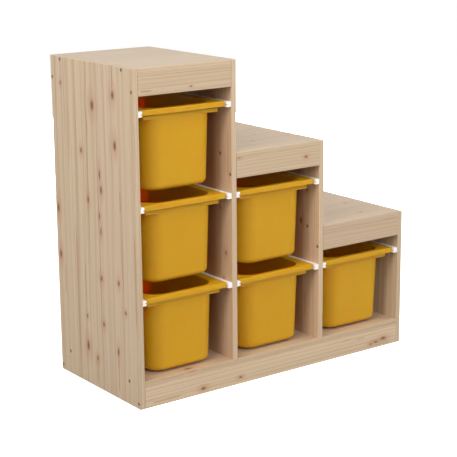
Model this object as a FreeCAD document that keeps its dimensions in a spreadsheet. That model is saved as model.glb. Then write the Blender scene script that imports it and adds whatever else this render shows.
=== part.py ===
import FreeCAD, Part
import math
import os
import Sketcher

# A stair-step toy storage frame of solid pine: three columns that fall from three rows to one,
# each row with a plastic bin that slides on two plastic runners.
# Millimetres. X runs along the front, Y from the front to the back, Z up from the floor.
# The origin lies on the floor, under the middle of the frame. The tall column is at -X.

doc = FreeCAD.newDocument("stair_step_storage")
sheet = doc.addObject("Spreadsheet::Sheet", "sizes")

driving_sizes = {
    # whole frame
    "overall_width": 940,
    "frame_depth": 420,
    "row_pitch": 250,            # one step of the stair, and one row of bins
    "top_gap": 38,               # room for a hand between an apron and the rim under it
    "hand_gap": 30,              # room for a hand between a bin and the rim under it
    "shelf_gap": 5,              # under the lowest bins
    # boards
    "board_thickness": 16,
    "apron_height": 56,
    "plinth_height": 59,
    "edge_round": 2,             # eased edges of the upright panels
    "seam_round": 1.5,           # eased long edges of boards and rails
    # screws
    "drill_clearance": 0.05,     # on the radius, round every fastener and peg
    "screw_diameter": 6.4,
    "screw_length": 50,
    "screw_head": 10,
    "screw_recess": 0.2,         # how far a head lies under the wood
    "screw_tip": 5,
    "screw_tip_diameter": 2,
    "key_radius": 2.3,           # to the corners of the hexagonal socket
    "key_depth": 3,
    "pilot_extra": 1,            # free drilling past the tip
    "screw_inset": 53,           # of a deck's board, from the front and from the back
    "apron_screw_rise": 12,      # above a rail's lower edge
    "plinth_screw_rise": 15,
    "divider_screw_inset": 80,
    # dowels
    "dowel_diameter": 8,
    "dowel_length": 30,
    "dowel_in_face": 10,         # the part that sits in a board's face
    "dowel_end_gap": 0.5,
    "dowel_chamfer": 1,
    "deck_dowel_inset": 150,
    "apron_dowel_rise": 38,
    "plinth_dowel_rise": 42,
    "divider_dowel_inset": 150,
    "seam_dowel_inset": 70,      # from a column's walls, between a deck's board and its rails
    # runners
    "runner_width": 12.5,
    "runner_height": 15,
    "runner_drop": 1,            # top of a runner, under the rim's top
    "runner_front_setback": 2,
    "runner_rear_setback": 4,
    "runner_round": 1,
    "slot_depth": 4,
    "peg_diameter": 6,
    "peg_length": 6,
    "peg_inset": 40,
    "peg_end_gap": 0.5,
    # bins
    "bin_front_setback": 8,
    "bin_rear_gap": 12,
    "bin_stop_gap": 0.5,         # between a tongue and the closed end of its slot
    "rim_side_gap": 0.75,        # between the rim and the runners beside it
    "rim_thickness": 2.5,
    "rim_side_flange": 24,
    "rim_end_flange": 14,
    "rim_corner": 4,
    "rim_round": 1,
    "lip_height": 13.5,
    "tongue_drop": 8,            # top of a tongue, under the rim's top
    "tongue_thickness": 3,
    "tongue_inset": 6,
    "tongue_gap_below": 0.25,
    "tongue_gap_above": 0.4,
    "tongue_gap_side": 0.4,
    "bin_wall": 2.5,
    "bin_taper": 8,              # how far each wall comes in from the rim to the floor
    "bin_corner": 50,
    "bin_foot_round": 15,
    "rim_root": 0.5,             # share of the bin's wall that the rim starts inside
    "collar_root": 0.8,          # the same; more, because the wall leans in below the mouth
    "collar_drop": 18,
    "collar_height": 9.5,
    "collar_reach": 10,
    "collar_corner": 4,
    # fixing to a wall, in the high rear rail
    "wall_hole": 5,
    "wall_hole_spacing": 120,
}

for row, (alias, size) in enumerate(driving_sizes.items(), start=1):
    sheet.set(f"A{row}", alias)
    sheet.set(f"B{row}", str(size))
    sheet.setAlias(f"B{row}", alias)
doc.recompute()

columns = ("tall", "middle", "low")
row_names = {3: ("bottom", "middle", "top"), 2: ("bottom", "top"), 1: ("",)}
tolerance = 1e-4                 # mm, for a point that lies on a plane
volume_slack = 0.02              # share of a hole's volume that may be missing

# Sizes that follow from the driving ones, as expressions of the sheet.
half_thickness = "(sizes.board_thickness / 2)"
front = "(-sizes.frame_depth / 2)"
clear_width = "((sizes.overall_width - 4 * sizes.board_thickness) / 3)"
column_pitch = f"({clear_width} + sizes.board_thickness)"
shelf_top = "(sizes.plinth_height + sizes.board_thickness)"
screw_hole = "(sizes.screw_diameter + 2 * sizes.drill_clearance)"
dowel_hole = "(sizes.dowel_diameter + 2 * sizes.drill_clearance)"
peg_hole = "(sizes.peg_diameter + 2 * sizes.drill_clearance)"
screw_in_end = (
    "(sizes.screw_length + sizes.screw_recess - sizes.board_thickness + sizes.pilot_extra)"
)
dowel_in_end = "(sizes.dowel_length - sizes.dowel_in_face)"
runner_length = "(sizes.frame_depth - sizes.runner_front_setback - sizes.runner_rear_setback)"
bin_height = "(sizes.row_pitch - sizes.hand_gap)"
rim_length = "(sizes.frame_depth - sizes.bin_front_setback - sizes.bin_rear_gap)"
rim_width = f"({clear_width} - 2 * sizes.runner_width - 2 * sizes.rim_side_gap)"
body_width = f"({rim_width} - 2 * sizes.rim_side_flange)"
body_length = f"({rim_length} - 2 * sizes.rim_end_flange)"


def value(expression):
    return float(sheet.evalExpression(expression))


def panelLeft(index):
    """X of the left face of an upright, counted from the left."""
    return f"(-sizes.overall_width / 2 + {index} * {column_pitch})"


def panelRight(index):
    return f"({panelLeft(index)} + sizes.board_thickness)"


def columnMiddle(column):
    return f"({panelRight(column)} + {clear_width} / 2)"


def rowCount(column):
    return len(columns) - column


def rimTop(row):
    """Height of the rim of a row's bins, rows counted from 1 at the floor."""
    return f"({shelf_top} + sizes.shelf_gap + {row} * sizes.row_pitch - sizes.hand_gap)"


def columnTop(column):
    return (
        f"({rimTop(rowCount(column))} + sizes.top_gap + sizes.apron_height"
        " + sizes.board_thickness)"
    )


def place(thing, x, y, z, direction=None):
    """Put a thing at a point, with its own Z turned to the direction."""
    if direction is not None:
        upright = FreeCAD.Vector(0, 0, 1)
        thing.Placement.Rotation = FreeCAD.Rotation(upright, FreeCAD.Vector(*direction))
    for axis, text in (("x", x), ("y", y), ("z", z)):
        thing.setExpression(f"Placement.Base.{axis}", str(text))


def bind(thing, **expressions):
    for name, text in expressions.items():
        thing.setExpression(name, str(text))


parts = []


def newPart(name, x="0", y="0", z="0"):
    body = doc.addObject("PartDesign::Body", name)
    body.Label = name
    place(body, x, y, z)
    parts.append(body)
    return body


def addBlock(body, name, corner, length, width, height, cut=False):
    kind = "PartDesign::SubtractiveBox" if cut else "PartDesign::AdditiveBox"
    block = body.newObject(kind, name)
    bind(block, Length=length, Width=width, Height=height)
    place(block, *corner)
    doc.recompute()
    return block


def edgesWhere(feature, test):
    edges = enumerate(feature.Shape.Edges, start=1)
    return [f"Edge{number}" for number, edge in edges if test(edge)]


def roundEdges(body, name, radius, test):
    base = body.Tip
    fillet = body.newObject("PartDesign::Fillet", name)
    fillet.Base = (base, edgesWhere(base, test))
    bind(fillet, Radius=radius)
    doc.recompute()
    return fillet


def onFace(axis, position):
    """A test for edges that lie in the plane where the coordinate has that value."""
    level = value(position)

    def test(edge):
        points = [getattr(vertex.Point, axis) for vertex in edge.Vertexes]
        return all(abs(point - level) < tolerance for point in points)

    return test


def offFaces(*tests):
    return lambda edge: not any(test(edge) for test in tests)


def originPlane(body, role):
    return next(plane for plane in body.Origin.OriginFeatures if plane.Role == role)


def newSketch(body, name, role, offset):
    sketch = body.newObject("Sketcher::SketchObject", name)
    sketch.AttachmentSupport = (originPlane(body, role), [""])
    sketch.MapMode = "FlatFace"
    sketch.setExpression("AttachmentOffset.Base.z", str(offset))
    return sketch


def constrain(sketch, expression, kind, *where):
    index = sketch.addConstraint(Sketcher.Constraint(kind, *where, value(expression)))
    sketch.setExpression(f"Constraints[{index}]", str(expression))


# Each face that is drilled: the plane it is parallel to, the sign from the plane's offset to the
# position along the axis, and whether the drill goes the way of the plane's normal.
drilled_faces = {
    "left": ("YZ_Plane", 1, True),
    "right": ("YZ_Plane", 1, False),
    "rear": ("XZ_Plane", -1, True),
    "bottom": ("XY_Plane", 1, True),
    "top": ("XY_Plane", 1, False),
}


def drill(body, name, face, position, centres, diameter, depth, countersunk=False):
    """Drill equal holes at right angles to a face. Depth None goes right through."""
    role, sign, forwards = drilled_faces[face]
    sketch = newSketch(body, f"{name}_centres", role, f"{sign} * {position}")
    for across, up in centres:
        middle = FreeCAD.Vector(value(across), value(up), 0)
        radius = value(diameter) / 2
        circle = sketch.addGeometry(Part.Circle(middle, FreeCAD.Vector(0, 0, 1), radius), False)
        constrain(sketch, across, "DistanceX", -1, 1, circle, 3)
        constrain(sketch, up, "DistanceY", -1, 1, circle, 3)
        constrain(sketch, diameter, "Diameter", circle)
    doc.recompute()
    before = body.Shape.Volume
    hole = body.newObject("PartDesign::Hole", name)
    hole.Profile = sketch
    hole.Reversed = forwards
    doc.recompute()
    hole.ThreadType = "None"
    hole.DrillPoint = "Flat"
    bind(hole, Diameter=diameter)
    if countersunk:
        hole.HoleCutType = "Countersink"
        hole.HoleCutCustomValues = True
        hole.HoleCutCountersinkAngle = 90
        bind(hole, HoleCutDiameter=(
            "sizes.screw_head + 2 * sizes.screw_recess + 4 * sizes.drill_clearance"
        ))
    if depth is None:
        hole.DepthType = "ThroughAll"
    else:
        hole.DepthType = "Dimension"
        bind(hole, Depth=depth)
    doc.recompute()
    if depth is not None:
        expected = len(centres) * math.pi * (value(diameter) / 2) ** 2 * value(depth)
        removed = before - body.Shape.Volume
        if abs(removed - expected) > volume_slack * expected:
            raise ValueError(f"{body.Label}: {name} removed {removed:.0f}, not {expected:.0f}")
    return hole


def addRoundedRectangle(sketch, width, length, corner):
    """A rounded rectangle about the sketch's origin, its sides and corners bound to the sheet."""
    half_x = value(width) / 2
    half_y = value(length) / 2
    radius = value(corner)
    inner_x = half_x - radius
    inner_y = half_y - radius
    turn = math.pi / 2
    lines = []
    arcs = []
    stretches = (
        ((-inner_x, -half_y), (inner_x, -half_y), (inner_x, -inner_y), 3),
        ((half_x, -inner_y), (half_x, inner_y), (inner_x, inner_y), 0),
        ((inner_x, half_y), (-inner_x, half_y), (-inner_x, inner_y), 1),
        ((-half_x, inner_y), (-half_x, -inner_y), (-inner_x, -inner_y), 2),
    )
    for start, end, middle, quarter in stretches:
        line = Part.LineSegment(FreeCAD.Vector(*start, 0), FreeCAD.Vector(*end, 0))
        lines.append(sketch.addGeometry(line, False))
        circle = Part.Circle(FreeCAD.Vector(*middle, 0), FreeCAD.Vector(0, 0, 1), radius)
        arc = Part.ArcOfCircle(circle, quarter * turn, (quarter + 1) * turn)
        arcs.append(sketch.addGeometry(arc, False))
    for side in range(4):
        following = lines[(side + 1) % 4]
        sketch.addConstraint(Sketcher.Constraint("Tangent", lines[side], 2, arcs[side], 1))
        sketch.addConstraint(Sketcher.Constraint("Tangent", arcs[side], 2, following, 1))
        direction = "Horizontal" if side % 2 == 0 else "Vertical"
        sketch.addConstraint(Sketcher.Constraint(direction, lines[side]))
        if side > 0:
            sketch.addConstraint(Sketcher.Constraint("Equal", arcs[0], arcs[side]))
    sketch.addConstraint(Sketcher.Constraint("Symmetric", lines[0], 1, lines[2], 1, -1, 1))
    constrain(sketch, width, "DistanceX", lines[3], 1, lines[1], 1)
    constrain(sketch, length, "DistanceY", lines[0], 1, lines[2], 1)
    constrain(sketch, corner, "Radius", arcs[0])


def outline(body, name, level, *rectangles):
    sketch = newSketch(body, name, "XY_Plane", level)
    for rectangle in rectangles:
        addRoundedRectangle(sketch, *rectangle)
    doc.recompute()
    return sketch


def padUp(body, name, profile, height):
    pad = body.newObject("PartDesign::Pad", name)
    pad.Profile = profile
    bind(pad, Length=height)
    doc.recompute()
    return pad


def facesWhere(feature, test):
    faces = enumerate(feature.Shape.Faces, start=1)
    return [f"Face{number}" for number, face in faces if test(face)]


def isMouth(face):
    return abs(face.CenterOfMass.z) < tolerance


def isUpright(face):
    return face.BoundBox.ZLength > tolerance


def draftWalls(body, name, angle):
    """Lean the upright walls inwards, downwards from the mouth at z = 0."""
    base = body.Tip
    draft = body.newObject("PartDesign::Draft", name)
    draft.Base = (base, facesWhere(base, isUpright))
    draft.NeutralPlane = (base, facesWhere(base, isMouth))
    draft.Reversed = True
    bind(draft, Angle=angle)
    doc.recompute()
    return draft


def hollowOut(body, name, wall):
    """Hollow a solid out from its mouth at z = 0, leaving a wall inside its faces."""
    base = body.Tip
    shell = body.newObject("PartDesign::Thickness", name)
    shell.Base = (base, facesWhere(base, isMouth))
    shell.Reversed = True
    bind(shell, Value=wall)
    doc.recompute()
    return shell


# Decks. A deck is a horizontal board with a rail under its front edge and one under its rear edge.
# Each column has one at its top, and one long deck under all three is the floor.


class Deck:
    def __init__(self, name, left_panel, right_panel, top, board, rails, rail_height, rises):
        self.name = name
        self.left_panel = left_panel
        self.right_panel = right_panel
        self.top = top
        self.board = board
        self.rails = rails
        self.rail_height = rail_height
        self.screw_rise, self.dowel_rise = rises
        self.left = panelRight(left_panel)
        self.width = f"({panelLeft(right_panel)} - {self.left})"
        self.board_low = f"({top} - sizes.board_thickness)"
        self.board_middle = f"({top} - {half_thickness})"
        self.rail_low = f"({self.board_low} - {rail_height})"

    def boardScrews(self):
        inset = "sizes.screw_inset"
        return [(y, self.board_middle) for y in (inset, f"(sizes.frame_depth - {inset})")]

    def boardDowels(self):
        inset = "sizes.deck_dowel_inset"
        return [(y, self.board_middle) for y in (inset, f"(sizes.frame_depth - {inset})")]

    def railScrews(self):
        height = f"({self.rail_low} + {self.screw_rise})"
        return [(y, height) for y in rail_middles]

    def railDowels(self):
        height = f"({self.rail_low} + {self.dowel_rise})"
        return [(y, height) for y in rail_middles]

    def screws(self):
        return self.boardScrews() + self.railScrews()

    def dowels(self):
        return self.boardDowels() + self.railDowels()

    def seamDowels(self):
        """X, from the deck's left end, of the dowels between its board and each rail."""
        inset = "sizes.seam_dowel_inset"
        places = []
        for column in range(self.left_panel, self.right_panel):
            places.append(f"({panelRight(column)} + {inset} - {self.left})")
            places.append(f"({panelLeft(column + 1)} - {inset} - {self.left})")
        return places


# Y of the middle of the front and the rear rail, from the frame's front.
rail_middles = (half_thickness, f"(sizes.frame_depth - {half_thickness})")

top_decks = [
    Deck(
        name=column,
        left_panel=index,
        right_panel=index + 1,
        top=columnTop(index),
        board=f"top_board_{column}",
        rails=(f"apron_{column}", f"rear_rail_{column}"),
        rail_height="sizes.apron_height",
        rises=("sizes.apron_screw_rise", "sizes.apron_dowel_rise"),
    )
    for index, column in enumerate(columns)
]
base_deck = Deck(
    name="base",
    left_panel=0,
    right_panel=len(columns),
    top=shelf_top,
    board="bottom_shelf",
    rails=("plinth_front", "plinth_rear"),
    rail_height="sizes.plinth_height",
    rises=("sizes.plinth_screw_rise", "sizes.plinth_dowel_rise"),
)
decks = top_decks + [base_deck]


def endDrillings(body, deck, height_at_zero, screws, dowels):
    """Blind holes in both ends of a board or rail for the screws and dowels of the uprights."""

    def local(points):
        return [(y, f"({z} - {height_at_zero})") for y, z in points]

    for end, position in (("left", "0"), ("right", deck.width)):
        drill(body, f"screw_pilots_{end}", end, position, local(screws), screw_hole, screw_in_end)
        depth = f"({dowel_in_end} + sizes.dowel_end_gap)"
        drill(body, f"dowel_holes_{end}", end, position, local(dowels), dowel_hole, depth)


def makeDeckBoard(deck):
    body = newPart(deck.board, deck.left, front, deck.board_low)
    size = (deck.width, "sizes.frame_depth", "sizes.board_thickness")
    addBlock(body, "board", ("0", "0", "0"), *size)
    ends = offFaces(onFace("x", "0"), onFace("x", deck.width))
    roundEdges(body, "eased_edges", "sizes.seam_round", ends)
    endDrillings(body, deck, deck.board_low, deck.boardScrews(), deck.boardDowels())
    centres = [(x, y) for x in deck.seamDowels() for y in rail_middles]
    depth = "(sizes.dowel_in_face + sizes.dowel_end_gap)"
    drill(body, "rail_dowel_holes", "bottom", "0", centres, dowel_hole, depth)
    return body


def makeRails(deck):
    for name, side in zip(deck.rails, (0, 1)):
        inset = f"({rail_middles[side]} - {half_thickness})"
        body = newPart(name, deck.left, f"({front} + {inset})", deck.rail_low)
        size = (deck.width, "sizes.board_thickness", deck.rail_height)
        addBlock(body, "rail", ("0", "0", "0"), *size)
        ends = offFaces(onFace("x", "0"), onFace("x", deck.width))
        roundEdges(body, "eased_edges", "sizes.seam_round", ends)
        screw = [(half_thickness, deck.railScrews()[side][1])]
        dowel = [(half_thickness, deck.railDowels()[side][1])]
        endDrillings(body, deck, deck.rail_low, screw, dowel)
        centres = [(x, half_thickness) for x in deck.seamDowels()]
        depth = f"({dowel_in_end} + sizes.dowel_end_gap)"
        drill(body, "board_dowel_holes", "top", deck.rail_height, centres, dowel_hole, depth)
        if name == "rear_rail_tall":
            drillWallHoles(body, deck)


def drillWallHoles(body, deck):
    """Two holes for fixing the frame to a wall, so that it can't tip forwards."""
    middle = f"({deck.width} / 2)"
    height = f"({deck.rail_height} / 2)"
    spacing = "sizes.wall_hole_spacing"
    centres = [(f"({middle} {sign} {spacing} / 2)", height) for sign in ("-", "+")]
    drill(body, "wall_holes", "rear", "sizes.board_thickness", centres, "sizes.wall_hole", None)


for deck in decks:
    makeDeckBoard(deck)
    makeRails(deck)


# Uprights. They are screwed and dowelled to the decks and carry the runners.


def runnerLow(row):
    return f"({rimTop(row)} - sizes.runner_drop - sizes.runner_height)"


def pegPlaces():
    """Y of a runner's pegs, from the runner's front end."""
    inset = "sizes.peg_inset"
    return (inset, f"({runner_length} / 2)", f"({runner_length} - {inset})")


def runnerPegs(row):
    height = f"({runnerLow(row)} + sizes.runner_height / 2)"
    return [(f"(sizes.runner_front_setback + {y})", height) for y in pegPlaces()]


divider_screws = [
    "sizes.divider_screw_inset",
    "(sizes.frame_depth - sizes.divider_screw_inset)",
]
divider_dowels = [
    "sizes.divider_dowel_inset",
    "(sizes.frame_depth - sizes.divider_dowel_inset)",
]


def makeUpright(name, index):
    outer = index in (0, len(columns))
    highest_column = max(index - 1, 0)
    top = columnTop(highest_column)
    low = "0" if outer else shelf_top
    body = newPart(name, panelLeft(index), front, low)
    height = f"({top} - {low})"
    size = ("sizes.board_thickness", "sizes.frame_depth", height)
    addBlock(body, "panel", ("0", "0", "0"), *size)
    eased = (lambda edge: True) if outer else offFaces(onFace("z", "0"))
    roundEdges(body, "eased_edges", "sizes.edge_round", eased)

    def local(points):
        return [(y, f"({z} - {low})") for y, z in points]

    faces = {"left": "0", "right": "sizes.board_thickness"}
    for side, other in (("left", "right"), ("right", "left")):
        deck_list = [
            deck for deck in decks
            if index == (deck.right_panel if side == "left" else deck.left_panel)
        ]
        if not deck_list:
            continue
        # decks and runners that meet this side; their screws come from the other side
        screws = local([point for deck in deck_list for point in deck.screws()])
        drill(body, f"screw_holes_{side}", other, faces[other], screws, screw_hole, None, True)
        dowels = local([point for deck in deck_list for point in deck.dowels()])
        depth = "(sizes.dowel_in_face + sizes.dowel_end_gap)"
        drill(body, f"dowel_holes_{side}", side, faces[side], dowels, dowel_hole, depth)
        column = index - 1 if side == "left" else index
        rows = range(1, rowCount(column) + 1)
        pegs = local([point for row in rows for point in runnerPegs(row)])
        depth = "(sizes.peg_length + sizes.peg_end_gap)"
        drill(body, f"peg_holes_{side}", side, faces[side], pegs, peg_hole, depth)
    if not outer:
        pilots = [(half_thickness, y) for y in divider_screws]
        drill(body, "shelf_screw_pilots", "bottom", "0", pilots, screw_hole, screw_in_end)
        holes = [(half_thickness, y) for y in divider_dowels]
        depth = f"({dowel_in_end} + sizes.dowel_end_gap)"
        drill(body, "shelf_dowel_holes", "bottom", "0", holes, dowel_hole, depth)


def drillShelfForDividers():
    """The dividers stand on the bottom shelf, screwed from under it and kept in line by dowels."""
    body = doc.getObject(base_deck.board)
    middles = [
        f"({panelLeft(index)} + {half_thickness} - {base_deck.left})"
        for index in range(1, len(columns))
    ]
    screws = [(x, y) for x in middles for y in divider_screws]
    drill(body, "divider_screw_holes", "bottom", "0", screws, screw_hole, None, True)
    dowels = [(x, y) for x in middles for y in divider_dowels]
    depth = "(sizes.dowel_in_face + sizes.dowel_end_gap)"
    top = "sizes.board_thickness"
    drill(body, "divider_dowel_holes", "top", top, dowels, dowel_hole, depth)


upright_names = ("side_panel_left", "divider_tall", "divider_middle", "side_panel_right")
for index, name in enumerate(upright_names):
    makeUpright(name, index)
drillShelfForDividers()


# Runners. A runner is a moulded bar on a column's wall, with a slot that faces the bin. The slot is open
# at the front, so a bin slides right out, and closed behind the bin, where it stops.


def makeRunner(name, hand, column, row):
    on_left = hand == "left"
    wall = panelRight(column) if on_left else f"({panelLeft(column + 1)} - sizes.runner_width)"
    y = f"({front} + sizes.runner_front_setback)"
    body = newPart(name, wall, y, runnerLow(row))
    size = ("sizes.runner_width", runner_length, "sizes.runner_height")
    addBlock(body, "bar", ("0", "0", "0"), *size)
    wall_side = onFace("x", "0" if on_left else "sizes.runner_width")
    rear_end = onFace("y", runner_length)
    roundEdges(body, "rounded_edges", "sizes.runner_round", offFaces(wall_side, rear_end))

    slot_x = "(sizes.runner_width - sizes.slot_depth)" if on_left else "0"
    tongue_low = "(sizes.tongue_drop + sizes.tongue_thickness)"
    slot_floor = (
        "(sizes.runner_height + sizes.runner_drop"
        f" - {tongue_low} - sizes.tongue_gap_below)"
    )
    slot_height = "(sizes.tongue_thickness + sizes.tongue_gap_below + sizes.tongue_gap_above)"
    slot_length = (
        f"(sizes.bin_front_setback + {rim_length} - sizes.tongue_inset + sizes.bin_stop_gap"
        " - sizes.runner_front_setback)"
    )
    slot_size = ("sizes.slot_depth", slot_length, slot_height)
    addBlock(body, "slot", (slot_x, "0", slot_floor), *slot_size, cut=True)

    peg_x = "(-sizes.peg_length)" if on_left else "sizes.runner_width"
    for number, peg_y in enumerate(pegPlaces(), start=1):
        peg = body.newObject("PartDesign::AdditiveCylinder", f"peg_{number}")
        bind(peg, Radius="sizes.peg_diameter / 2", Height="sizes.peg_length")
        place(peg, peg_x, peg_y, "sizes.runner_height / 2", direction=(1, 0, 0))
        doc.recompute()


# Bins. A bin hangs by its rim. The rim turns down into a skirt all round, and a tongue along each side
# of the skirt rides in a runner's slot. Its own origin is the middle of the rim's top.


def insideWall(share):
    """The shell's mouth outline, moved inwards by that share of its wall."""
    depth = f"{share} * sizes.bin_wall"
    return (
        f"({body_width} - 2 * {depth})",
        f"({body_length} - 2 * {depth})",
        f"(sizes.bin_corner - {depth})",
    )


def makeBin(name, column, row):
    y = f"({front} + sizes.bin_front_setback + {rim_length} / 2)"
    body = newPart(name, columnMiddle(column), y, rimTop(row))
    mouth_size = (body_width, body_length, "sizes.bin_corner")
    mouth = outline(body, "mouth_outline", f"-{bin_height}", mouth_size)
    padUp(body, "shell", mouth, bin_height)
    draftWalls(body, "mould_draft", f"atan(sizes.bin_taper / {bin_height})")
    roundEdges(body, "foot_rounding", "sizes.bin_foot_round", onFace("z", f"-{bin_height}"))
    hollowOut(body, "wall", "sizes.bin_wall")

    # collar and rim are rings that start inside the wall, so that they grow out of it
    collar_inside = insideWall("sizes.collar_root")
    collar_size = (
        f"({body_width} + 2 * sizes.collar_reach)",
        body_length,
        "sizes.collar_corner",
    )
    collar_low = "-(sizes.collar_drop + sizes.collar_height)"
    collar = outline(body, "collar_outline", collar_low, collar_size, collar_inside)
    padUp(body, "collar", collar, "sizes.collar_height")

    rim_size = (rim_width, rim_length, "sizes.rim_corner")
    skirt_inside = (
        f"({rim_width} - 2 * sizes.rim_thickness)",
        f"({rim_length} - 2 * sizes.rim_thickness)",
        "(sizes.rim_corner - sizes.rim_thickness)",
    )
    rim_inside = insideWall("sizes.rim_root")
    rim = outline(body, "rim_outline", "-sizes.rim_thickness", rim_size, rim_inside)
    padUp(body, "rim", rim, "sizes.rim_thickness")
    skirt = outline(body, "skirt_outline", "-sizes.lip_height", rim_size, skirt_inside)
    padUp(body, "skirt", skirt, "sizes.lip_height")

    tongue_outside = (
        f"({clear_width} / 2 - sizes.runner_width + sizes.slot_depth"
        " - sizes.tongue_gap_side)"
    )
    tongue_width = f"({tongue_outside} - {rim_width} / 2 + sizes.rim_thickness / 2)"
    tongue_length = f"({rim_length} - 2 * sizes.tongue_inset)"
    tongue_low = "-(sizes.tongue_drop + sizes.tongue_thickness)"
    for hand, x in (
        ("left", f"-{tongue_outside}"),
        ("right", f"({tongue_outside} - {tongue_width})"),
    ):
        corner = (x, f"-{tongue_length} / 2", tongue_low)
        size = (tongue_width, tongue_length, "sizes.tongue_thickness")
        addBlock(body, f"tongue_{hand}", corner, *size)

    roundEdges(body, "rim_rounding", "sizes.rim_round", onFace("z", "0"))


def partName(*words):
    return "_".join(word for word in words if word)


for column, column_name in enumerate(columns):
    for row, row_name in enumerate(row_names[rowCount(column)], start=1):
        for hand in ("left", "right"):
            makeRunner(partName("runner", column_name, row_name, hand), hand, column, row)
        makeBin(partName("bin", column_name, row_name), column, row)


# Screws and dowels. Equal fasteners are links to one pattern piece, grouped by the board they go through.


def makeScrewPattern():
    """A countersunk furniture screw along +Z, its head's face at the origin."""
    body = doc.addObject("PartDesign::Body", "screw_pattern")
    head_height = "((sizes.screw_head - sizes.screw_diameter) / 2)"
    shank = "(sizes.screw_diameter / 2)"
    head = body.newObject("PartDesign::AdditiveCone", "head")
    bind(head, Radius1="sizes.screw_head / 2", Radius2=shank, Height=head_height)
    rod = body.newObject("PartDesign::AdditiveCylinder", "shank")
    rod_length = f"(sizes.screw_length - sizes.screw_tip - {head_height})"
    bind(rod, Radius=shank, Height=rod_length)
    place(rod, "0", "0", head_height)
    tip = body.newObject("PartDesign::AdditiveCone", "tip")
    bind(tip, Radius1=shank, Radius2="sizes.screw_tip_diameter / 2", Height="sizes.screw_tip")
    place(tip, "0", "0", "sizes.screw_length - sizes.screw_tip")
    key = body.newObject("PartDesign::SubtractivePrism", "key_socket")
    key.Polygon = 6
    bind(key, Circumradius="sizes.key_radius", Height="sizes.key_depth")
    doc.recompute()
    return body


def makeDowelPattern():
    """A dowel along +Z from the origin."""
    body = doc.addObject("PartDesign::Body", "dowel_pattern")
    rod = body.newObject("PartDesign::AdditiveCylinder", "rod")
    bind(rod, Radius="sizes.dowel_diameter / 2", Height="sizes.dowel_length")
    doc.recompute()
    chamfer = body.newObject("PartDesign::Chamfer", "chamfered_ends")
    ends = (onFace("z", "0"), onFace("z", "sizes.dowel_length"))
    chamfer.Base = (rod, edgesWhere(rod, lambda edge: any(end(edge) for end in ends)))
    bind(chamfer, Size="sizes.dowel_chamfer")
    doc.recompute()
    return body


def makeGroup(name, pattern, places):
    links = []
    for number, (x, y, z, direction) in enumerate(places, start=1):
        link = doc.addObject("App::Link", f"{name}_{number}")
        link.LinkedObject = pattern
        place(link, x, y, z, direction)
        links.append(link)
    group = doc.addObject("Part::Compound", name)
    group.Label = name
    group.Links = links
    doc.recompute()
    parts.append(group)


screw_pattern = makeScrewPattern()
dowel_pattern = makeDowelPattern()
rightwards = (1, 0, 0)
leftwards = (-1, 0, 0)
upwards = (0, 0, 1)

for index, name in enumerate(upright_names):
    screw_places = []
    dowel_places = []
    for deck in decks:
        if index == deck.left_panel:
            head = f"({panelLeft(index)} + sizes.screw_recess)"
            dowel_start = f"({panelRight(index)} - sizes.dowel_in_face)"
            direction = rightwards
        elif index == deck.right_panel:
            head = f"({panelRight(index)} - sizes.screw_recess)"
            dowel_start = f"({panelLeft(index)} + sizes.dowel_in_face)"
            direction = leftwards
        else:
            continue
        for y, z in deck.screws():
            screw_places.append((head, f"({front} + {y})", z, direction))
        for y, z in deck.dowels():
            dowel_places.append((dowel_start, f"({front} + {y})", z, direction))
    makeGroup(f"screws_{name}", screw_pattern, screw_places)
    makeGroup(f"dowels_{name}", dowel_pattern, dowel_places)

divider_middles = [
    f"({panelLeft(index)} + {half_thickness})" for index in range(1, len(columns))
]
makeGroup("screws_under_dividers", screw_pattern, [
    (x, f"({front} + {y})", "(sizes.plinth_height + sizes.screw_recess)", upwards)
    for x in divider_middles for y in divider_screws
])
makeGroup("dowels_under_dividers", dowel_pattern, [
    (x, f"({front} + {y})", f"({shelf_top} - sizes.dowel_in_face)", upwards)
    for x in divider_middles for y in divider_dowels
])
for deck in decks:
    makeGroup(f"rail_dowels_{deck.name}", dowel_pattern, [
        (
            f"({deck.left} + {x})",
            f"({front} + {y})",
            f"({deck.board_low} - {dowel_in_end})",
            upwards,
        )
        for x in deck.seamDowels() for y in rail_middles
    ])


doc.recompute()
for thing in doc.Objects:
    if "Invalid" in thing.State or "Error" in thing.State:
        raise RuntimeError(f"{thing.Name} failed: {thing.State}")
for part in parts:
    if part.Shape.isNull() or not part.Shape.isValid():
        raise RuntimeError(f"{part.Label} has no valid shape")

os.makedirs("parts", exist_ok=True)
for part in parts:
    part.Shape.exportStep(f"parts/{part.Label}.step")
    print(f"{part.Label}: {len(part.Shape.Solids)} solids, {part.Shape.Volume / 1000:.1f} cm3")
print(len(parts), "parts")
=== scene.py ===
import math
from functools import partial

import bmesh
import bpy
from mathutils import Matrix, Vector

# Stair-step pine frame with six mustard bins on white runners. Metres; X along the front from the
# tall column to the low one, Y from the front to the back, Z up from the floor.

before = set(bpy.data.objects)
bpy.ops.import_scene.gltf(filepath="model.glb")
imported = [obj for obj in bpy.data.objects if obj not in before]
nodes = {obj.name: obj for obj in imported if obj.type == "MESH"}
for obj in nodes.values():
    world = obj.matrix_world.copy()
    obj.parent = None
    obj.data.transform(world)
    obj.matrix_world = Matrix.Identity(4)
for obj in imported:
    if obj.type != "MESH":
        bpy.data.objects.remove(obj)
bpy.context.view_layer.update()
print("frame loaded:", len(nodes), "pieces")

mm = 0.001
fineRelief = 0.1 * mm        # depth of the bumps on plastic, steel and beech


def linearColour(hexText):
    channels = [int(hexText[i:i + 2], 16) / 255 for i in (1, 3, 5)]
    return [c / 12.92 if c <= 0.04045 else ((c + 0.055) / 1.055) ** 2.4 for c in channels] + [1]


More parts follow.
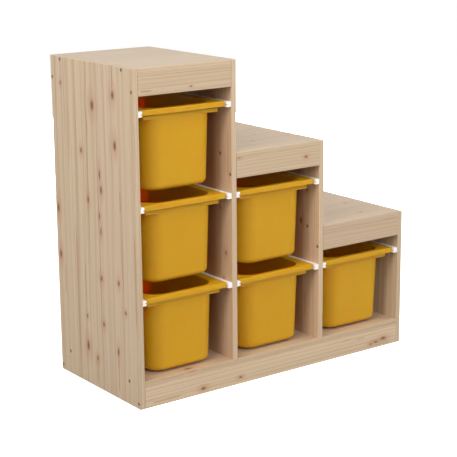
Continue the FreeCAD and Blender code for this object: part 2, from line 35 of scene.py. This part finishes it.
def addNode(tree, kind, inputs=(), out=0, **settings):
    # inputs are numbers, colours or other nodes' outputs, in order or by socket; gives one output back
    node = tree.nodes.new("ShaderNode" + kind)
    for name, setting in settings.items():
        setattr(node, name, setting)
    for socket, source in inputs.items() if isinstance(inputs, dict) else enumerate(inputs):
        if isinstance(source, bpy.types.NodeSocket):
            tree.links.new(source, node.inputs[socket])
        else:
            node.inputs[socket].default_value = source
    return node.outputs[out] if node.outputs else node


def newMaterial(name):
    material = bpy.data.materials.new(name)
    material.use_nodes = True
    material.node_tree.nodes.clear()
    return material, partial(addNode, material.node_tree)


def setMaterial(piece, material):
    piece.data.materials.clear()
    piece.data.materials.append(material)


def lookFrom(place, aim):
    turn = (Vector(aim) - Vector(place)).to_track_quat("-Z", "Y")
    return Matrix.Translation(place) @ turn.to_matrix().to_4x4()


# Camera: the photograph's viewing angle, found from the frame's straight edges.

cameraView = {
    "place": (-2.2700, -3.0682, 1.3240),
    "aim": (-0.0210, 0, 0.3899),
    "rollDegrees": -0.51,
    "lens": 106.13,
    "sensor": 36,
}
cameraData = bpy.data.cameras.new("photoCamera")
cameraData.sensor_width = cameraView["sensor"]
cameraData.lens = cameraView["lens"]
camera = bpy.data.objects.new("photoCamera", cameraData)
bpy.context.scene.collection.objects.link(camera)
roll = Matrix.Rotation(math.radians(cameraView["rollDegrees"]), 4, "Z")
camera.matrix_world = lookFrom(cameraView["place"], cameraView["aim"]) @ roll
bpy.context.scene.camera = camera
print("camera placed")


# Solid pine, edge-glued from staves, planed and clear-lacquered over a light stain: pale beige,
# pinker in some staves and yellower in others, with long straight growth lines and fine fibres,
# and small reddish-brown knots with a smear of resin along the grain.

pine = {
    "pink": "#CBB298",
    "yellow": "#C9B393",
    "yellowShare": (0.2, 0.8),    # in the pinkest and the yellowest stave
    # the darker brown of the wide bands of painted shade on the dividers' left faces
    "lateWood": "#A6825F",
    "resin": "#AA7E5F",
    "redTintAndShade": "#96653F",
    "glue": "#977957",
    "staveWidth": 72,             # mm
    "staveShift": 2700.0,         # mm along the grain to a stave's own part of its tree, at most
    "staveWander": 0.16,          # how far a joint strays from even spacing, in staves
    "wanderTurn": 0.023,          # radians a mm
    "glueReach": (0.003, 0.014),  # in staves
    "yearWidth": 6.0,             # mm of growth a year; real ones are 3 to 4, drawn as coarse as shows
    "yearWobble": 0.9,            # years that a growth line strays
    "lateBegins": (0.50, 0.88),   # the part of a year in which the wood darkens
    "lateEnds": (0.92, 1.0),
    "pithNear": 80.0,             # mm from a stave's middle to its tree's pith, at least
    "pithSpread": 60.0,           # mm more in some staves
    "pithStray": 22.0,            # mm that the pith wanders
    "pithDepth": 12.0,            # mm through the board
    "pithLean": 0.003,            # mm a mm
    "depthSpread": 25.0,          # mm
    # noises: length, width and depth of their features in mm, detail, and shift along the grain
    "pithDrift": ((1300, 90, 90), 1.0, 3.0),
    "lineWobble": ((1200, 30, 30), 2.0, 8.0),
    "shades": ((4000, 26, 40), 1.0, 0.0),
    "darkStreaks": ((2600, 6.5, 12), 4.0, 11.0),
    "resinPatches": ((3000, 13, 20), 2.0, 23.0),
    "fibres": ((90, 1.6, 1.6), 2.0, 17.0),      # real fibres are hair-fine
    "threadLength": 1100,
    "noiseRoughness": 0.6,
    "resinFrom": (0.12, 0.30),    # where a noise turns into resin
    "threadsFrom": (0.06, 0.22),
    # strengths
    "lines": 0.28,
    "linesInStreaks": 1.3,
    "resinTint": 0.12,
    "shadeTone": 0.08,
    "streakTone": 0.22,
    "threadTone": -0.26,
    "fibreTone": 0.20,
    "staveTone": 0.05,
    "glueTint": 0.4,
    "relief": 0.25,
    "reliefDepth": 0.2,           # mm
    "lateRelief": 0.5,
    "roughness": (0.46, 0.36),    # of early and of late wood
    # painted light and shade on a divider's left face: the mm through the board over which they fade, and
    # the share left beyond
    "shadeFade": 4,               # mm through the board
    "shadeBeyond": 0.1,
    "streakCore": (0.3, 0.6),     # share of a placed streak's width and length at full strength
    "shadeBandFrom": 20,          # mm, the half width from which a placed streak is a band of painted shade
    # round a knot: inner and outer reach in the knot's half widths, and strength
    "knotPush": (0.3, 4.5, 0.5),
    # and the same with a colour in front
    "knotLayers": (
        ("#BB8F74", 0.9, 3.6, 0.45),      # halo
        ("#A17658", 0.6, 1.35, 0.55),     # rim
        ("#6D4935", 0.25, 0.9, 0.85),     # core
    ),
}


def makePine(name, board):
    material, add = newMaterial(name)
    inMm = add("VectorMath", {0: add("TexCoord", out="Object"), 3: 1 / mm}, operation="SCALE")
    parts = add("SeparateXYZ", (inMm,)).node.outputs
    u, v, w = [parts["xyz".index(axis)] for axis in board["axes"]]      # along, across and through
    seed = board["seed"]      # times an odd decimal, it gives each board its own pattern

    def grainNoise(size, detail, shift):
        # noise drawn out along the grain, from -0.5 to 0.5
        length, width, depth = size
        spot = add("CombineXYZ", (
            add("Math", (longU, 1 / length, shift + seed * 1.7), operation="MULTIPLY_ADD"),
            add("Math", (vBent, 1 / width), operation="MULTIPLY"),
            add("Math", (w, 1 / depth), operation="MULTIPLY"),
        ))
        rough = pine["noiseRoughness"]
        noise = add("TexNoise", {"Vector": spot, "Scale": 1.0, "Detail": detail, "Roughness": rough})
        return add("Math", (noise, 0.5), operation="SUBTRACT")

    # each knot pushes the grain aside
    vBent = v
    knotMasks = [0.0 for layer in pine["knotLayers"]]
    for knotU, knotV, size, stretch in board.get("knots", ()):
        squeezed = add("Math", (u, 1 / stretch), operation="MULTIPLY")
        flat = add("CombineXYZ", (squeezed, v, 0.0))
        middle = (knotU / stretch, knotV, 0)
        away = add("VectorMath", (flat, middle), out="Value", operation="DISTANCE")
        inner, outer, strength = pine["knotPush"]
        reach = (away, size * inner, size * outer, strength, 0.0)
        push = add("MapRange", reach, interpolation_type="SMOOTHSTEP")
        aside =add("Math", (knotV, v), operation="SUBTRACT")
        vBent = add("Math", (aside, push, vBent), operation="MULTIPLY_ADD")
        for i, (tint, inner, outer, strength) in enumerate(pine["knotLayers"]):
            reach = (away, size * inner, size * outer, 1.0, 0.0)
            mask = add("MapRange", reach, interpolation_type="SMOOTHSTEP")
            knotMasks[i] = add("Math", (knotMasks[i], mask), operation="MAXIMUM")

    # staves, each from another part of another tree
    angle = add("Math", (v, pine["wanderTurn"], seed), operation="MULTIPLY_ADD")
    sine = add("Math", (angle,), operation="SINE")
    wander = add("Math", (sine, pine["staveWander"], seed * 7.31), operation="MULTIPLY_ADD")
    staves = add("Math", (v, 1 / pine["staveWidth"], wander), operation="MULTIPLY_ADD")
    stave = add("Math", (staves,), operation="FLOOR")
    inStave = add("Math", (staves, stave), operation="SUBTRACT")
    ticket = add("Math", (stave, seed * 3.7), operation="ADD")
    chance = add("TexWhiteNoise", {"W": ticket}, out="Color", noise_dimensions="1D")
    lots = add("SeparateColor", (chance,)).node.outputs
    longU = add("Math", (lots[0], pine["staveShift"], u), operation="MULTIPLY_ADD")
    farEdge = add("Math", (1.0, inStave), operation="SUBTRACT")
    edge = add("Math", (inStave, farEdge), operation="MINIMUM")
    glueLine = add("MapRange", (edge, *pine["glueReach"], 1.0, 0.0), interpolation_type="SMOOTHSTEP")

    # growth rings about a pith beside the stave that hardly wanders, so the lines run straight
    stray = add("Math", (grainNoise(*pine["pithDrift"]), pine["pithStray"]), operation="MULTIPLY")
    hand = add("Math", (add("Math", (lots[2], 0.5), operation="SUBTRACT"),), operation="SIGN")
    pithGap = add("Math", (lots[1], pine["pithSpread"], pine["pithNear"]), operation="MULTIPLY_ADD")
    pithV = add("Math", (pithGap, hand, stray), operation="MULTIPLY_ADD")
    bend = add("Math", (vBent, v), operation="SUBTRACT")
    shiftV = add("Math", (bend, pithV), operation="SUBTRACT")
    fromMiddle = add("Math", (inStave, 0.5), operation="SUBTRACT")
    ringV = add("Math", (fromMiddle, pine["staveWidth"], shiftV), operation="MULTIPLY_ADD")
    lean = add("Math", (longU, pine["pithLean"], pine["pithDepth"]), operation="MULTIPLY_ADD")
    pithW = add("Math", (lots[2], pine["depthSpread"], lean), operation="MULTIPLY_ADD")
    ringW = add("Math", (w, pithW), operation="ADD")
    fromPith = add("CombineXYZ", (ringV, ringW, 0.0))
    radius = add("VectorMath", (fromPith,), out="Value", operation="LENGTH")
    yearWidth = board.get("years", pine["yearWidth"])
    age = add("Math", (radius, yearWidth), operation="DIVIDE")
    wobble = grainNoise(*pine["lineWobble"])
    year = add("Math", (wobble, pine["yearWobble"], age), operation="MULTIPLY_ADD")
    season = add("Math", (year,), operation="FRACT")
    darkening = add("MapRange", (season, *pine["lateBegins"]), interpolation_type="SMOOTHSTEP")
    ending = add("MapRange", (season, *pine["lateEnds"], 1.0, 0.0), interpolation_type="SMOOTHSTEP")
    lateWood = add("Math", (darkening, ending), operation="MULTIPLY")

    shades = grainNoise(*pine["shades"])
    streaks = grainNoise(*pine["darkStreaks"])
    fineLines = grainNoise((pine["threadLength"], yearWidth * 0.5, yearWidth), 2.0, 31.0)
    threads = add("MapRange", (fineLines, *pine["threadsFrom"]), interpolation_type="SMOOTHSTEP")
    fibres = grainNoise(*pine["fibres"])
    patches = grainNoise(*pine["resinPatches"])
    resin = add("MapRange", (patches, *pine["resinFrom"]), interpolation_type="SMOOTHSTEP")

    # a divider's face that looks left gets painted light and shade: a lighter tone, a redder tint and a wide
    # dark band deeper in; the rest of it is plain
    shadedFaceMask = 1.0
    if "shadedFace" in board:
        face = board["shadedFace"]
        span = (w, face, face + pine["shadeFade"], 1.0, pine["shadeBeyond"])
        shadedFaceMask = add("MapRange", span, interpolation_type="SMOOTHSTEP")

    # colour: stave, growth lines, resin and a red tint, placed streaks; on a divider's left face the tint
    # and the widest streaks are painted shade
    between = add("MapRange", (lots[1], 0.0, 1.0, *pine["yellowShare"]))
    mixed = {0: between, 6: linearColour(pine["pink"]), 7: linearColour(pine["yellow"])}
    colour = add("Mix", mixed, 2, data_type="RGBA")
    lineDepth = (streaks, pine["linesInStreaks"], board.get("lines", pine["lines"]))
    lines = add("Math", (lateWood, add("Math", lineDepth, operation="MULTIPLY_ADD")), operation="MULTIPLY")
    colour = add("Mix", {0: lines, 6: colour, 7: linearColour(pine["lateWood"])}, 2, data_type="RGBA")
    tintAndShade = add("Math", (shadedFaceMask, board.get("redTintAndShade", 0.0)), operation="MULTIPLY")
    redness = add("Math", (resin, pine["resinTint"], tintAndShade), operation="MULTIPLY_ADD")
    colour = add("Mix", {0: redness, 6: colour, 7: linearColour(pine["resin"])}, 2, data_type="RGBA")
    coreWide, coreLong = pine["streakCore"]
    for low, high, streakV, wide, strength in board.get("streaks", ()):
        offV = add("Math", (add("Math", (vBent, streakV), operation="SUBTRACT"),), operation="ABSOLUTE")
        offU = add("Math", (add("Math", (u, (low + high) / 2), operation="SUBTRACT"),), operation="ABSOLUTE")
        half = (high - low) / 2
        widthSpan = (offV, wide * coreWide, wide, strength, 0.0)
        lengthSpan = (offU, half * coreLong, half, 1.0, 0.0)
        sideways = add("MapRange", widthSpan, interpolation_type="SMOOTHSTEP")
        lengthways = add("MapRange", lengthSpan, interpolation_type="SMOOTHSTEP")
        streak = add("Math", (sideways, lengthways), operation="MULTIPLY")
        streak = add("Math", (streak, shadedFaceMask), operation="MULTIPLY")
        # the widest streaks are bands of painted shade, in the darker brown
        tint = pine["redTintAndShade"] if wide > pine["shadeBandFrom"] else pine["resin"]
        colour = add("Mix", {0: streak, 6: colour, 7: linearColour(tint)}, 2, data_type="RGBA")

    # tone: lighter and darker; on a divider the board's tone is on its left face only, and is painted light
    figure = board.get("figure", 1.0)
    tone = add("Math", (shadedFaceMask, board.get("tone", 1.0) - 1, 1.0), operation="MULTIPLY_ADD")
    for pattern, strength in (
        (shades, pine["shadeTone"]),
        (streaks, pine["streakTone"] * figure),
        (threads, pine["threadTone"] * figure),
        (fibres, pine["fibreTone"]),
        (add("Math", (lots[0], 0.5), operation="SUBTRACT"), pine["staveTone"]),
    ):
        tone = add("Math", (pattern, strength, tone), operation="MULTIPLY_ADD")
    grey = add("CombineXYZ", (tone, tone, tone))
    colour = add("Mix", {0: 1.0, 6: colour, 7: grey}, 2, data_type="RGBA", blend_type="MULTIPLY")
    glued = add("Math", (glueLine, pine["glueTint"]), operation="MULTIPLY")
    colour = add("Mix", {0: glued, 6: colour, 7: linearColour(pine["glue"])}, 2, data_type="RGBA")
    if board.get("knots"):
        for mask, (tint, inner, outer, strength) in zip(knotMasks, pine["knotLayers"]):
            stain = add("Math", (mask, strength), operation="MULTIPLY")
            colour = add("Mix", {0: stain, 6: colour, 7: linearColour(tint)}, 2, data_type="RGBA")

    height = add("Math", (lateWood, pine["lateRelief"], fibres), operation="MULTIPLY_ADD")
    depth = pine["reliefDepth"] * mm
    shader = add("BsdfPrincipled", {
        "Base Color": colour,
        "Roughness": add("MapRange", (lateWood, 0.0, 1.0, *pine["roughness"])),
        "IOR": 1.5,
        "Normal": add("Bump", {"Strength": pine["relief"], "Distance": depth, "Height": height}),
    })
    add("OutputMaterial", {"Surface": shader})
    return material


# Boards. axes: the axes along the grain, across it and through the board. tone is lighter or darker, the red
# tint how much redder it is, and on a divider the shaded face is its face that looks left, where that tint,
# the tone and the widest streaks are painted light and shade. lines and figure how strong the growth lines
# and the streaks are, years the mm of growth a year. A knot is mm along the grain, mm across, half width in
# mm, and how much longer than wide. A streak is mm along from and to, mm across, half width in mm, strength.

upright = "zyx"
lying = "xyz"
onEdge = "xzy"

boards = {
    "side_panel_left": {
        "axes": upright, "seed": 1, "years": 9.0, "lines": 0.3,
        "knots": (
            (795, -7, 10.5, 1.7), (833, -112, 9, 1.6), (701, -116, 9, 1.9), (665, 58, 6, 1.7),
            (571, -40, 6.5, 2.2), (534, 29, 6, 2.0), (482, 195, 8, 2.2), (348, 191, 8, 2.0),
            (324, -29, 6.5, 1.5), (330, -117, 6, 1.6), (255, -148, 6, 1.2), (195, -34, 6, 1.4),
            (198, 54, 4.5, 1.6), (112, 54, 8.5, 2.2), (88, 5, 5.5, 1.7), (135, -106, 6, 2.6),
            (838, 158, 5, 1.3), (612, -35, 4.5, 4.0), (498, -28, 4, 3.2), (456, -33, 4, 3.6),
        ),
        "streaks": (
            (20, 480, 99, 7, 0.55), (845, 925, -112, 3, 0.7), (235, 360, 57, 3, 0.6),
            (290, 470, -139, 3, 0.45), (10, 130, -106, 4, 0.6), (200, 500, -201, 5, 0.6),
            (10, 90, 8, 9, 0.35), (230, 330, 170, 5, 0.4), (700, 800, 22, 3, 0.4),
            (520, 590, -135, 3, 0.6),
        ),
    },
    "side_panel_right": {
        "axes": upright, "seed": 2,
        "knots": ((300, 60, 7, 1.6), (120, -40, 5, 1.8)),
        "streaks": ((40, 380, 110, 6, 0.4),),
    },
    # the dividers' tone, red tint and widest streak lie on the face that looks left, as painted light and
    # shade
    "divider_tall": {
        "axes": upright, "seed": 3, "tone": 1.07, "redTintAndShade": 0.34, "shadedFace": -161.5,
        "knots": ((377, -180, 5, 1.8), (502, -154, 4, 1.6), (303, -169, 3.5, 2.0)),
        "streaks": (
            (0, 960, -88, 72, 0.9), (100, 900, -150, 8, 0.3), (590, 730, -191, 2.5, 0.8),
            (140, 230, -163, 3, 0.7), (330, 480, -186, 2, 0.5), (590, 700, -176, 2, 0.6),
        ),
    },
    "divider_middle": {
        "axes": upright, "seed": 4, "tone": 1.17, "redTintAndShade": 0.26, "shadedFace": 146.5,
        "knots": ((414, -128, 7, 1.8), (508, -155, 4, 1.6)),
        "streaks": (
            (0, 700, -92, 62, 0.8), (80, 650, -120, 8, 0.3), (120, 210, -148, 3, 0.7),
            (380, 520, -176, 2, 0.5),
        ),
    },
    "top_board_tall": {"axes": lying, "seed": 5, "tone": 0.96, "lines": 0.18, "figure": 0.6},
    "top_board_middle": {
        "axes": lying, "seed": 6, "tone": 0.96, "lines": 0.2, "figure": 0.9,
        "knots": ((-7, -100, 3, 3.0), (60, -20, 3, 2.2), (-80, 90, 4, 2.0)),
    },
    "top_board_low": {
        "axes": lying, "seed": 7, "tone": 0.9, "lines": 0.2, "figure": 0.9,
        "knots": ((363, -145, 4, 1.8), (406, -24, 3.5, 1.8), (250, 60, 4, 1.8)),
    },
    "bottom_shelf": {"axes": lying, "seed": 8, "redTintAndShade": 0.2, "knots": ((-302, -190, 7, 2.2),)},
    "apron_tall": {
        "axes": onEdge, "seed": 9, "tone": 0.95, "redTintAndShade": 0.05,
        "knots": ((-291, 851, 2.6, 1.8),),
        "streaks": ((-450, -410, 850, 3, 0.7),),
    },
    "apron_middle": {
        "axes": onEdge, "seed": 10, "tone": 0.96, "redTintAndShade": 0.06,
        "knots": ((96, 619, 4.5, 1.6), (-137, 645, 4, 2.0)),
    },
    "apron_low": {"axes": onEdge, "seed": 11, "tone": 0.95, "redTintAndShade": 0.12},
    "rear_rail_tall": {"axes": onEdge, "seed": 12, "knots": ((-200, 860, 6, 1.6),)},
    "rear_rail_middle": {"axes": onEdge, "seed": 13},
    "rear_rail_low": {"axes": onEdge, "seed": 14, "knots": ((300, 365, 5, 1.6),)},
    "plinth_front": {
        "axes": onEdge, "seed": 15, "tone": 1.08,
        "knots": (
            (-265, 15, 5.5, 1.7), (-137, 19, 4, 2.0), (402, 24, 5.5, 2.4), (372, 18, 3.5, 2.6),
            (352, 15, 3, 2.4),
        ),
        "streaks": (
            (-440, -330, 12, 3, 0.6), (330, 430, 20, 6, 0.35), (235, 275, 46, 2, 0.7),
            (290, 330, 41, 2, 0.7), (340, 440, 11, 2.5, 0.6),
        ),
    },
    "plinth_rear": {"axes": onEdge, "seed": 16, "knots": ((120, 30, 6, 1.6),)},
}
for name, board in boards.items():
    setMaterial(nodes[name], makePine("pine_" + name, board))
print("pine boards finished")


# Bins: polypropylene, injection-moulded with a fine matt texture: saturated mustard with a soft
# sheen. A little light passes through the 2.5 mm walls and reddens, so the insides glow red-brown.

binPlastic = {
    "colours": ("#D3A014", "#CD9A12"),
    "drift": 9.0,            # noise features a metre; the moulded colour hardly varies
    "texture": 1.4,          # mm; the moulded texture is 0.1 mm, drawn as coarse as shows
    "relief": 0.15,
    "roughness": (0.37, 0.47),
    "sheen": 0.5,
    "glow": {
        "Subsurface Weight": 0.8,
        "Subsurface Radius": (1.0, 0.4, 0.2),
        "Subsurface Scale": 6.0 * mm,
    },
}

# Runners: the same plastic in white, finer and duller, and too thick to let light through.

runnerPlastic = {
    "colours": ("#FBF9F7", "#F6F3F0"),
    "drift": 9.0,
    "texture": 0.8,
    "relief": 0.15,
    "roughness": (0.40, 0.50),
    "sheen": 0.12,
    "glow": {},
}


def makeMoulded(name, finish):
    material, add = newMaterial(name)
    place = add("TexCoord", out="Object")
    drift = add("TexNoise", {"Vector": place, "Scale": finish["drift"], "Detail": 2.0})
    grit = add("TexNoise", {"Vector": place, "Scale": 1 / (finish["texture"] * mm), "Detail": 2.0})
    first, second = [linearColour(colour) for colour in finish["colours"]]
    shader = add("BsdfPrincipled", {
        "Base Color": add("Mix", {0: drift, 6: first, 7: second}, 2, data_type="RGBA"),
        "Roughness": add("MapRange", (grit, 0.0, 1.0, *finish["roughness"])),
        "IOR": 1.49,
        "Specular IOR Level": finish["sheen"],
        "Normal": add("Bump", {"Strength": finish["relief"], "Distance": fineRelief, "Height": grit}),
        **finish["glow"],
    })
    add("OutputMaterial", {"Surface": shader})
    return material


# Screws: steel, cold-headed and yellow-chromated, so the sunk heads look olive-brown.

screwSteel = {
    "colours": ("#A8926A", "#786848"),
    "flecks": 400.0,         # noise features a metre: chromate patches of 2.5 mm
    "detail": 2.0,
    "relief": 0.3,
    "metallic": 0.35,
    "roughness": 0.5,
}

# Dowels: beech, turned and left raw, with small dark pores.

dowelBeech = {
    "colours": ("#D3AC80", "#B5875A"),
    "flecks": 900.0,         # pores of 1.1 mm
    "detail": 3.0,
    "relief": 0.2,
    "metallic": 0.0,
    "roughness": 0.65,
}


def makeFlecked(name, finish):
    material, add = newMaterial(name)
    place = add("TexCoord", out="Object")
    flecks = add("TexNoise", {"Vector": place, "Scale": finish["flecks"], "Detail": finish["detail"]})
    first, second = [linearColour(colour) for colour in finish["colours"]]
    shader = add("BsdfPrincipled", {
        "Base Color": add("Mix", {0: flecks, 6: first, 7: second}, 2, data_type="RGBA"),
        "Metallic": finish["metallic"],
        "Roughness": finish["roughness"],
        "Normal": add("Bump", {"Strength": finish["relief"], "Distance": fineRelief, "Height": flecks}),
    })
    add("OutputMaterial", {"Surface": shader})
    return material


mustard = makeMoulded("polypropyleneMustard", binPlastic)
white = makeMoulded("polypropyleneWhite", runnerPlastic)
steel = makeFlecked("chromatedSteel", screwSteel)
beech = makeFlecked("beech", dowelBeech)
for name, node in nodes.items():
    if name.startswith("bin"):
        setMaterial(node, mustard)
    elif name.startswith("runner"):
        setMaterial(node, white)
    elif name.startswith("screws"):
        setMaterial(node, steel)
    elif "dowels" in name:
        setMaterial(node, beech)
print("plastics and fasteners finished")


# Studio: pale floor and soft lamps in front, at the sides and overhead, and one low behind, which
# shines through the bins' rear walls. The world is white to the camera, to gloss and through glass,
# and gives no light, so the insides stay dark. The floor glows to the camera and through glass, more
# so further out, so that it turns white and keeps the shadow under the frame. To gloss it is plain
# grey, because a white floor would veil the lacquered panels.

studio = {
    "white": (1, 1, 1, 1),
    "floorSize": 12,
    "floorColour": "#FAFAFA",
    "bounceColour": "#A8A8A8",
    "glowNear": (0.7, 0.8),       # metres from the middle, strength
    "glowFar": (1.8, 1.0),
    "aim": (0, 0, 0.4),
    "lamps": {
        "left": {"place": (-4.29, -0.53, 1.97), "size": 2.4, "power": 104},
        "front": {"place": (-0.56, -3.98, 2.63), "size": 4.4, "power": 146},
        "right": {"place": (3.29, -2.96, 1.67), "size": 1.6, "power": 36},
        "highLeft": {"place": (-2.61, -1.39, 3.92), "size": 1.8, "power": 69},
        "highRight": {"place": (2.56, -1.48, 3.92), "size": 1.8, "power": 50},
        "behind": {"place": (2.15, 4.05, 0.80), "size": 1.6, "power": 320},
    },
}

floorMaterial, add = newMaterial("paleFloor")
fromMiddle = add("VectorMath", (add("TexCoord", out="Object"),), out="Value", operation="LENGTH")
(nearEdge, nearGlow), (farEdge, farGlow) = studio["glowNear"], studio["glowFar"]
glowSpan = (fromMiddle, nearEdge, farEdge, nearGlow, farGlow)
strength = add("MapRange", glowSpan, interpolation_type="SMOOTHSTEP")
glow = add("Emission", {"Color": studio["white"], "Strength": strength})
matt = add("BsdfDiffuse", {"Color": linearColour(studio["floorColour"])})
lit = add("AddShader", (matt, glow))
dull = add("BsdfDiffuse", {"Color": linearColour(studio["bounceColour"])})
rays = add("LightPath").node.outputs
seen = add("Math", (rays["Is Camera Ray"], rays["Is Transmission Ray"]), operation="MAXIMUM")
add("OutputMaterial", {"Surface": add("MixShader", (seen, dull, lit))})

mesh = bmesh.new()
bmesh.ops.create_grid(mesh, x_segments=1, y_segments=1, size=studio["floorSize"] / 2)
floorMesh = bpy.data.meshes.new("floor")
mesh.to_mesh(floorMesh)
mesh.free()
floor = bpy.data.objects.new("floor", floorMesh)
setMaterial(floor, floorMaterial)
bpy.context.scene.collection.objects.link(floor)

world = bpy.data.worlds.new("studioWorld")
bpy.context.scene.world = world
world.use_nodes = True
world.node_tree.nodes.clear()
add = partial(addNode, world.node_tree)
rays = add("LightPath").node.outputs
seen = add("Math", (rays["Is Camera Ray"], rays["Is Glossy Ray"]), operation="MAXIMUM")
seen = add("Math", (seen, rays["Is Transmission Ray"]), operation="MAXIMUM")
add("OutputWorld", {"Surface": add("Background", {"Color": studio["white"], "Strength": seen})})

for name, lamp in studio["lamps"].items():
    lampData = bpy.data.lights.new(name + "Lamp", "AREA")
    lampData.shape = "DISK"
    lampData.size = lamp["size"]
    lampData.energy = lamp["power"]
    softbox = bpy.data.objects.new(name + "Lamp", lampData)
    softbox.visible_camera = False
    softbox.visible_glossy = False
    bpy.context.scene.collection.objects.link(softbox)
    softbox.matrix_world = lookFrom(lamp["place"], studio["aim"])
bpy.context.scene.view_settings.view_transform = "Standard"
print("studio lit")

bpy.context.view_layer.update()
